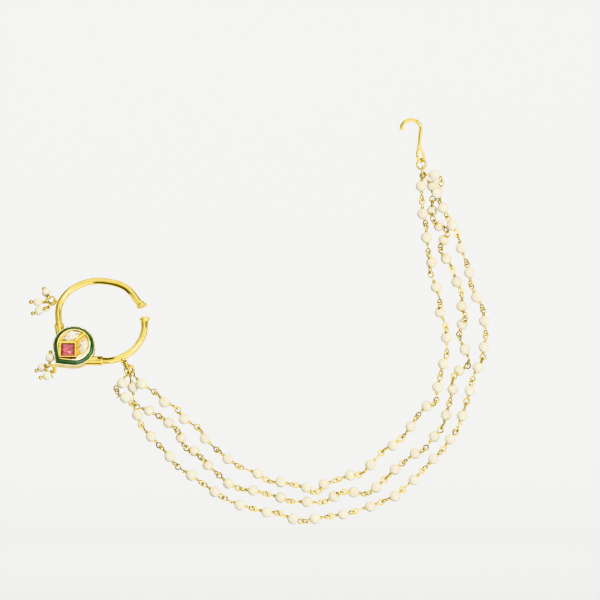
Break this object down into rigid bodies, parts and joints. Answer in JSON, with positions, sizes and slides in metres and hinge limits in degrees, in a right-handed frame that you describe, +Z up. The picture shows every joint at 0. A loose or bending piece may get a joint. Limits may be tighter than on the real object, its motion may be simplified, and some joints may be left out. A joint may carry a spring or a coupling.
{
  "type": "nose ring with pearl chain and hair hook",
  "caption": "Open gold hoop with an enamelled, stone-set teardrop pendant, bunches of small pearls, and a pearl chain in strands that ends in a hair hook.",
  "frame": {"origin": "middle of the gap between the hoop's two end pads, where the nostril sits", "axes": "+Z up as worn, +X from the nose towards the ear along the chain, +Y away from the side that shows"},
  "size_m": [0.1753, 0.0196, 0.154],
  "materials": {
    "gold": "polished gold plating",
    "wire_gold": "gold plated wire",
    "pearl": "ivory pearl lustre",
    "green_enamel": "glossy dark green enamel",
    "pink_stone": "polished cut stone, foil backed",
    "clear_stone": "polished cut stone, foil backed"
  },
  "bodies": {
    "root": {"hoop_and_case": "gold", "enamel_band": "green_enamel", "square_stone": "pink_stone", "upper_leaf_stone": "clear_stone", "side_leaf_stone": "clear_stone", "upper_bunch_ring": "wire_gold", "upper_pin_1": "wire_gold", "upper_pearl_1": "pearl", "upper_pin_2": "wire_gold", "upper_pearl_2": "pearl", "upper_pin_3": "wire_gold", "upper_pearl_3": "pearl", "lower_bunch_ring": "wire_gold", "lower_pin_1": "wire_gold", "lower_pearl_1": "pearl", "lower_pin_2": "wire_gold", "lower_pearl_2": "pearl", "lower_pin_3": "wire_gold", "lower_pearl_3": "pearl", "chain_link": "wire_gold", "collecting_ring": "wire_gold", "inner_strand": "pearl", "inner_stem_front": "wire_gold", "inner_stem_back": "wire_gold", "middle_strand": "pearl", "middle_stem_front": "wire_gold", "middle_stem_back": "wire_gold", "outer_strand": "pearl", "outer_stem_front": "wire_gold", "outer_stem_back": "wire_gold", "gathering_ring": "wire_gold", "hook_ring": "wire_gold", "hair_hook": "gold"}
  },
  "joints": []
}
